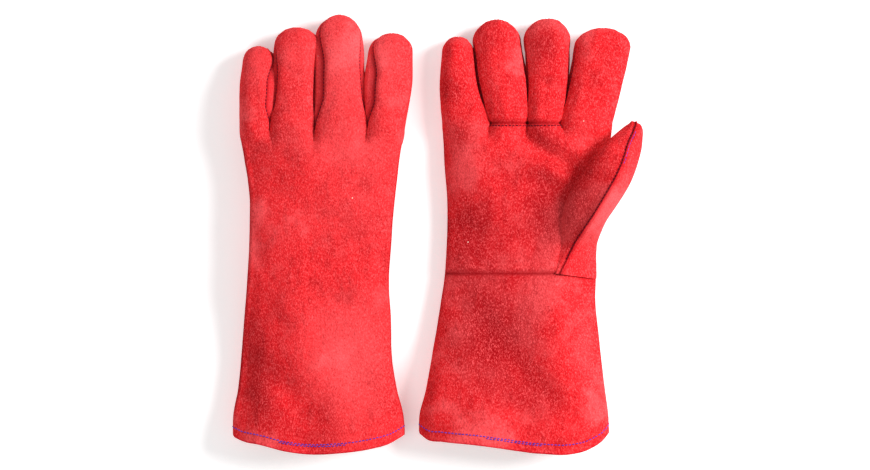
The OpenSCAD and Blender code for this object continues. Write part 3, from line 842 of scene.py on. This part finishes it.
# ---- Turned cuff edge ---------------------------------------------------------------------
# The cuff leather is turned in over a soft round fold and stitched down, so the mouth shows a
# rolled edge and, inside it, the cut edge of the turning.
FOLD_RADIUS = 1.7
FOLD_DEPTH = 0.8
FOLD_STEPS = 7
TURN_STEPS = 4
TURNED_LEATHER = 1.1
for glove in GLOVES:
    skin, ids = loop_grid(glove, ["gauntlet_front", "cuff_back"], 0, 3)
    edge, normals = skin["points"][ids[0]], skin["normals"][ids[0]]
    outward = edge - skin["points"][ids[1]]
    outward /= np.linalg.norm(outward, axis=1, keepdims=True)
    rows, row_normals = [], []
    for k in range(FOLD_STEPS + 1):
        a = math.pi * k / FOLD_STEPS
        fold = outward * FOLD_DEPTH * math.sin(a) - normals * (1 - math.cos(a))
        rows.append(edge + fold * FOLD_RADIUS)
        row_normals.append(normals * math.cos(a) + outward * math.sin(a))
    for k in range(1, TURN_STEPS + 1):
        ragged = np.array([noise.noise(Vector((i * 0.23, k, 0))) for i in range(len(edge))])[:, None]
        depth = HEM_DEPTH * k / TURN_STEPS + (ragged * 0.7 if k == TURN_STEPS else 0)
        rows.append(rows[FOLD_STEPS] - outward * depth - normals * 0.25 * math.sin(k))
        row_normals.append(-normals)
    grid, grid_normals = np.array(rows), np.array(row_normals)
    inner = grid - grid_normals * TURNED_LEATHER
    seam = np.full(grid.shape[:2], NO_SEAM)
    name = glove + "_cuff_hem_leather"
    piece = sheet_mesh(name, glove, "cuff_hem", grid, inner, grid_normals, seam, True, not skin["flip"])
    piece.data.materials.append(hem_suede)
    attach(piece, glove + "_hand")
    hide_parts(glove + "_cuff_hem")


# ---- Welts --------------------------------------------------------------------------------
# Thin leather strips are caught between the two leathers of the long side seams and of the thumb
# ridge. Only their edge stands out, as a narrow bead along the seam.
BEAD_SIDES = 8
BEAD_HALF_WIDTH = 0.8


def sweep(path, outward, half_height):
    """A bead along a path, half_height deep along outward."""
    ahead = np.gradient(path, axis=0)
    ahead /= np.linalg.norm(ahead, axis=1, keepdims=True)
    across = np.cross(ahead, outward)
    rings = []
    for k in range(BEAD_SIDES):
        a = 2 * math.pi * k / BEAD_SIDES
        rings.append(path + across * BEAD_HALF_WIDTH * math.cos(a) + outward * half_height * math.sin(a))
    grid = np.stack(rings, axis=1)
    last = (len(path) - 1) * BEAD_SIDES
    r, c = np.meshgrid(np.arange(len(path) - 1), np.arange(BEAD_SIDES), indexing="ij")
    a, b = r * BEAD_SIDES + c, r * BEAD_SIDES + (c + 1) % BEAD_SIDES
    faces = np.stack([a, a + BEAD_SIDES, b + BEAD_SIDES, b], axis=-1).reshape(-1, 4).tolist()
    faces += [list(range(BEAD_SIDES)), [last + k for k in range(BEAD_SIDES)][::-1]]
    return grid.reshape(-1, 3), faces


def strand_piece(name, glove, strands, material, patch):
    """One piece made of separate closed strands, each with its points and faces."""
    points, faces = [], []
    for strand_points, strand_faces in strands:
        start = sum(len(p) for p in points)
        points.append(strand_points)
        faces += [[i + start for i in f] for f in strand_faces]
    places = place(glove, np.concatenate(points))
    mesh = bpy.data.meshes.new(name)
    mesh.from_pydata(places.tolist(), [], faces)
    mesh.polygons.foreach_set("use_smooth", [True] * len(mesh.polygons))
    mesh.materials.append(material)
    point_values(mesh, "nap_place", places)
    piece = add_piece(mesh)
    go_with(piece, glove, patch)
    return piece


# Welt, the leather and its columns whose edge it follows, how far it stands out.
WELTS = [("side_welts", "back_panel", (0, -1), 0.9), ("thumb_welt", "thumb_inner", (0,), 0.8)]
WELT_LIFT = 0.1
for glove in GLOVES:
    for welt, patch, columns, half_height in WELTS:
        skin = skin_of(glove, patch)
        strands = []
        for column in columns:
            ids = skin["ids"][patch][:, column]
            outward = skin["normals"][ids]
            strands.append(sweep(skin["points"][ids] + outward * WELT_LIFT, outward, half_height))
        piece = strand_piece(glove + "_" + welt + "_leather", glove, strands, welt_suede, welt)
        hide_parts(glove + "_" + welt)


# ---- Stitching ----------------------------------------------------------------------------
# Waxed thread in separate lock stitches: dark red-purple along the finger seams, the seam across the base of
# the middle and ring fingers and the thumb ridge, blue-violet along the turned cuff edge and the upper part
# of the thumb ridge.
def thread_finish(name, color, deep):
    made, tree, shader = new_finish(name, 0.85, 0.1)
    where = node(tree, "ShaderNodeAttribute", attribute_name="nap_place").outputs["Vector"]
    twist = ramp(tree, named_noise(tree, where, 900, 2), 0.35, 0.7)
    tree.links.new(mix(tree, twist, (*deep, 1), (*color, 1)), shader.inputs["Base Color"])
    return made


dark_thread = thread_finish("dark_thread", (0.13, 0.004, 0.022), (0.06, 0.002, 0.010))
violet_thread = thread_finish("violet_thread", (0.10, 0.07, 0.55), (0.05, 0.03, 0.34))
THREAD_SIDES = 6
THREAD_RADIUS = 0.4
STITCH_PITCH = 2.9
STITCH_LENGTH = 2.1
# A stitch dips into the leather at both ends: share of its length, lift, thickness.
BOWS = ((0, -0.5, 0.5), (0.14, 0.35, 1), (0.5, 0.62, 1), (0.86, 0.35, 1), (1, -0.5, 0.5))


def beside(glove, patch, edge, distance, first=0, last=None):
    """Line on a patch at a distance from one of its edges, with the surface's normals."""
    skin = skin_of(glove, patch)
    ids = skin["ids"][patch]
    if edge in ("low", "high"):
        ids = ids.T
    if edge in ("last", "high"):
        ids = ids[:, ::-1]
    path, normals = [], []
    for row in ids[first:last]:
        points = skin["points"][row]
        run = lengths_along(points)
        path.append([np.interp(distance, run, points[:, k]) for k in range(3)])
        normals.append([np.interp(distance, run, skin["normals"][row][:, k]) for k in range(3)])
    return np.array(path), np.array(normals)


def stitches(path, normals, rng):
    """Points and faces of the separate stitches along a line."""
    run = lengths_along(path)
    points, faces = [], []
    for k in range(int(run[-1] / STITCH_PITCH)):
        start = k * STITCH_PITCH + rng.uniform(-0.15, 0.15)
        side_slip = rng.uniform(-0.12, 0.12)
        at = np.array([start + STITCH_LENGTH * bow[0] for bow in BOWS])
        centre = np.array([np.interp(at, run, path[:, i]) for i in range(3)]).T
        normal = np.array([np.interp(at, run, normals[:, i]) for i in range(3)]).T
        ahead = centre[-1] - centre[0]
        ahead /= max(np.linalg.norm(ahead), 1e-6)
        side = np.cross(normal, ahead)
        base = len(points) * THREAD_SIDES
        for j, (_, lift, full) in enumerate(BOWS):
            middle = centre[j] + normal[j] * lift * THREAD_RADIUS + side[j] * side_slip
            points.append([middle + (side[j] * math.cos(a) + normal[j] * math.sin(a)) * THREAD_RADIUS * full
                           for a in np.linspace(0, 2 * math.pi, THREAD_SIDES, endpoint=False)])
        for j in range(len(BOWS) - 1):
            for c in range(THREAD_SIDES):
                a, b = base + j * THREAD_SIDES + c, base + j * THREAD_SIDES + (c + 1) % THREAD_SIDES
                faces.append((a, b, b + THREAD_SIDES, a + THREAD_SIDES))
        faces.append(tuple(base + c for c in range(THREAD_SIDES))[::-1])
        faces.append(tuple(base + 4 * THREAD_SIDES + c for c in range(THREAD_SIDES)))
    return np.array(points).reshape(-1, 3), faces


def stitch_piece(name, glove, lines, material, patch, seed):
    """A seam's thread: the stitches along each of its lines."""
    rng = random.Random(seed)
    strands = [stitches(path, normals, rng) for path, normals in lines]
    strand_piece(glove + "_" + name + "_thread", glove, strands, material, patch)


# Distances of the stitches from the seam or the edge.
STITCH_IN = 1.5
HEM_STITCH_IN = 6.6
HEM_SECOND_IN = 5.2
RIDGE_STITCH_IN = 1.2
RIDGE_TOP_IN = 0.8
for seed, glove in enumerate(GLOVES):
    for finger in FINGERS:
        rows = len(patches[glove, finger + "_front"]["grid"])
        lines = [beside(glove, finger + "_" + face, edge, STITCH_IN, 1, rows - 3)
                 for face in ("front", "back") for edge in ("first", "last")]
        stitch_piece(finger, glove, lines, dark_thread, finger + "_front", seed)
    # The seam across the base of the middle and ring fingers.
    skin = skins[glove, "hand"]
    base_ids = skin["ids"]["palm_panel"][-2, FACE_COLUMNS + 1:3 * FACE_COLUMNS]
    base_line = (skin["points"][base_ids], skin["normals"][base_ids])
    stitch_piece("hand", glove, [base_line], dark_thread, "hand", seed + 10)
    # The cuff edge is sewn once all round, and a second time over the middle of its upper face.
    hem_lines = [beside(glove, patch, "low", HEM_STITCH_IN) for patch in ("gauntlet_front", "back_panel")]
    upper = "gauntlet_front" if glove == "right" else "back_panel"
    path, normals = beside(glove, upper, "low", HEM_SECOND_IN)
    middle_third = slice(len(path) // 3, 2 * len(path) // 3)
    hem_lines.append((path[middle_third], normals[middle_third]))
    stitch_piece("hem", glove, hem_lines, violet_thread, "hand", seed + 20)
    ridge = beside(glove, "thumb_inner", "first", RIDGE_STITCH_IN, 3, -5)
    stitch_piece("thumb", glove, [ridge], dark_thread, "thumb_outer", seed + 30)
    ridge_top = beside(glove, "thumb_outer", "last", RIDGE_TOP_IN, 32, 49)
    stitch_piece("thumb_top", glove, [ridge_top], violet_thread, "thumb_outer", seed + 40)


# ---- Table, light and camera --------------------------------------------------------------
# A plain pale table under large soft lamps, seen from straight above.
bpy.ops.mesh.primitive_plane_add(size=6, location=(0, 0, -0.0004))
table = bpy.context.object
table.name = "table"
table_finish, _, table_shader = new_finish("table_white", 0.9, 0.5)
table_shader.inputs["Base Color"].default_value = (0.93, 0.93, 0.93, 1)
table_shader.inputs["Emission Color"].default_value = (1, 1, 1, 1)
table_shader.inputs["Emission Strength"].default_value = 0.3
table.data.materials.append(table_finish)

world = bpy.data.worlds.new("studio")
bpy.context.scene.world = world
world.use_nodes = True
background = world.node_tree.nodes["Background"]
background.inputs["Color"].default_value = (1, 1, 1, 1)
background.inputs["Strength"].default_value = 0.42


def lamp(name, place_at, size, power):
    """A soft round lamp aimed at the middle of the pair."""
    light = bpy.data.lights.new(name, "AREA")
    light.shape = "DISK"
    light.size = size
    light.energy = power
    made = bpy.data.objects.new(name, light)
    made.location = place_at
    made.rotation_euler = (-Vector(place_at)).to_track_quat("-Z", "Y").to_euler()
    bpy.context.scene.collection.objects.link(made)


lamp("key_lamp", (1.5, 0.45, 1.05), 1.0, 52)
lamp("fill_lamp", (-0.8, -0.6, 1.8), 1.4, 9)

camera_data = bpy.data.cameras.new("camera")
camera = bpy.data.objects.new("camera", camera_data)
bpy.context.scene.collection.objects.link(camera)
bpy.context.scene.camera = camera
CAMERA_HEIGHT = 2.5
# Width that the picture takes in at the height of the leather, and that height.
FIELD = 0.7047
LEATHER_HEIGHT = 0.02
camera.location = (-0.0004, -0.0004, CAMERA_HEIGHT)
camera_data.sensor_width = 36
camera_data.lens = camera_data.sensor_width * (CAMERA_HEIGHT - LEATHER_HEIGHT) / FIELD
camera_data.clip_end = 50
bpy.context.scene.view_settings.view_transform = "Standard"
